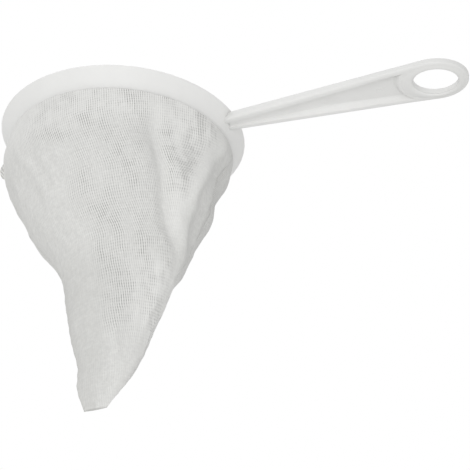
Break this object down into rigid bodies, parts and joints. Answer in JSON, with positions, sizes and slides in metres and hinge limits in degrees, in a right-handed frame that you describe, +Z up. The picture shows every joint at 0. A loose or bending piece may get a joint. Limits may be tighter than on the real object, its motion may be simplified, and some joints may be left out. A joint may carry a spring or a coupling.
{
  "type": "flannel strainer",
  "caption": "Hand strainer with a tapered moulded hoop, a channel handle with a hang eye, and a sewn flannel filter bag held by a clamp ring.",
  "frame": {"origin": "centre of the hoop, in the plane of its top edge, where the tapered hoop hangs in a jug's mouth", "axes": "+Z up along the hoop's axis, out of the bag's mouth; +X along the handle"},
  "size_m": [0.2374, 0.1202, 0.152],
  "materials": {
    "moulding": "satin white moulded plastic",
    "flannel": "open plain weave, brushed",
    "thread": "spun sewing thread"
  },
  "bodies": {
    "frame": {"hoop_handle": "moulding"},
    "ring": {"clamp_ring": "moulding"},
    "bag": {"front_panel": "flannel", "back_panel": "flannel", "side_seam": "thread", "hem_overlock": "thread", "seam_tail": "thread"}
  },
  "joints": [
    {"name": "clamp_ring_lift", "type": "slide", "parent": "frame", "child": "ring", "axis": [0, 0, 1], "range_m": [0, 0.03]},
    {"name": "bag_release", "type": "slide", "parent": "frame", "child": "bag", "axis": [0, 0, -1], "range_m": [0, 0.03]}
  ]
}
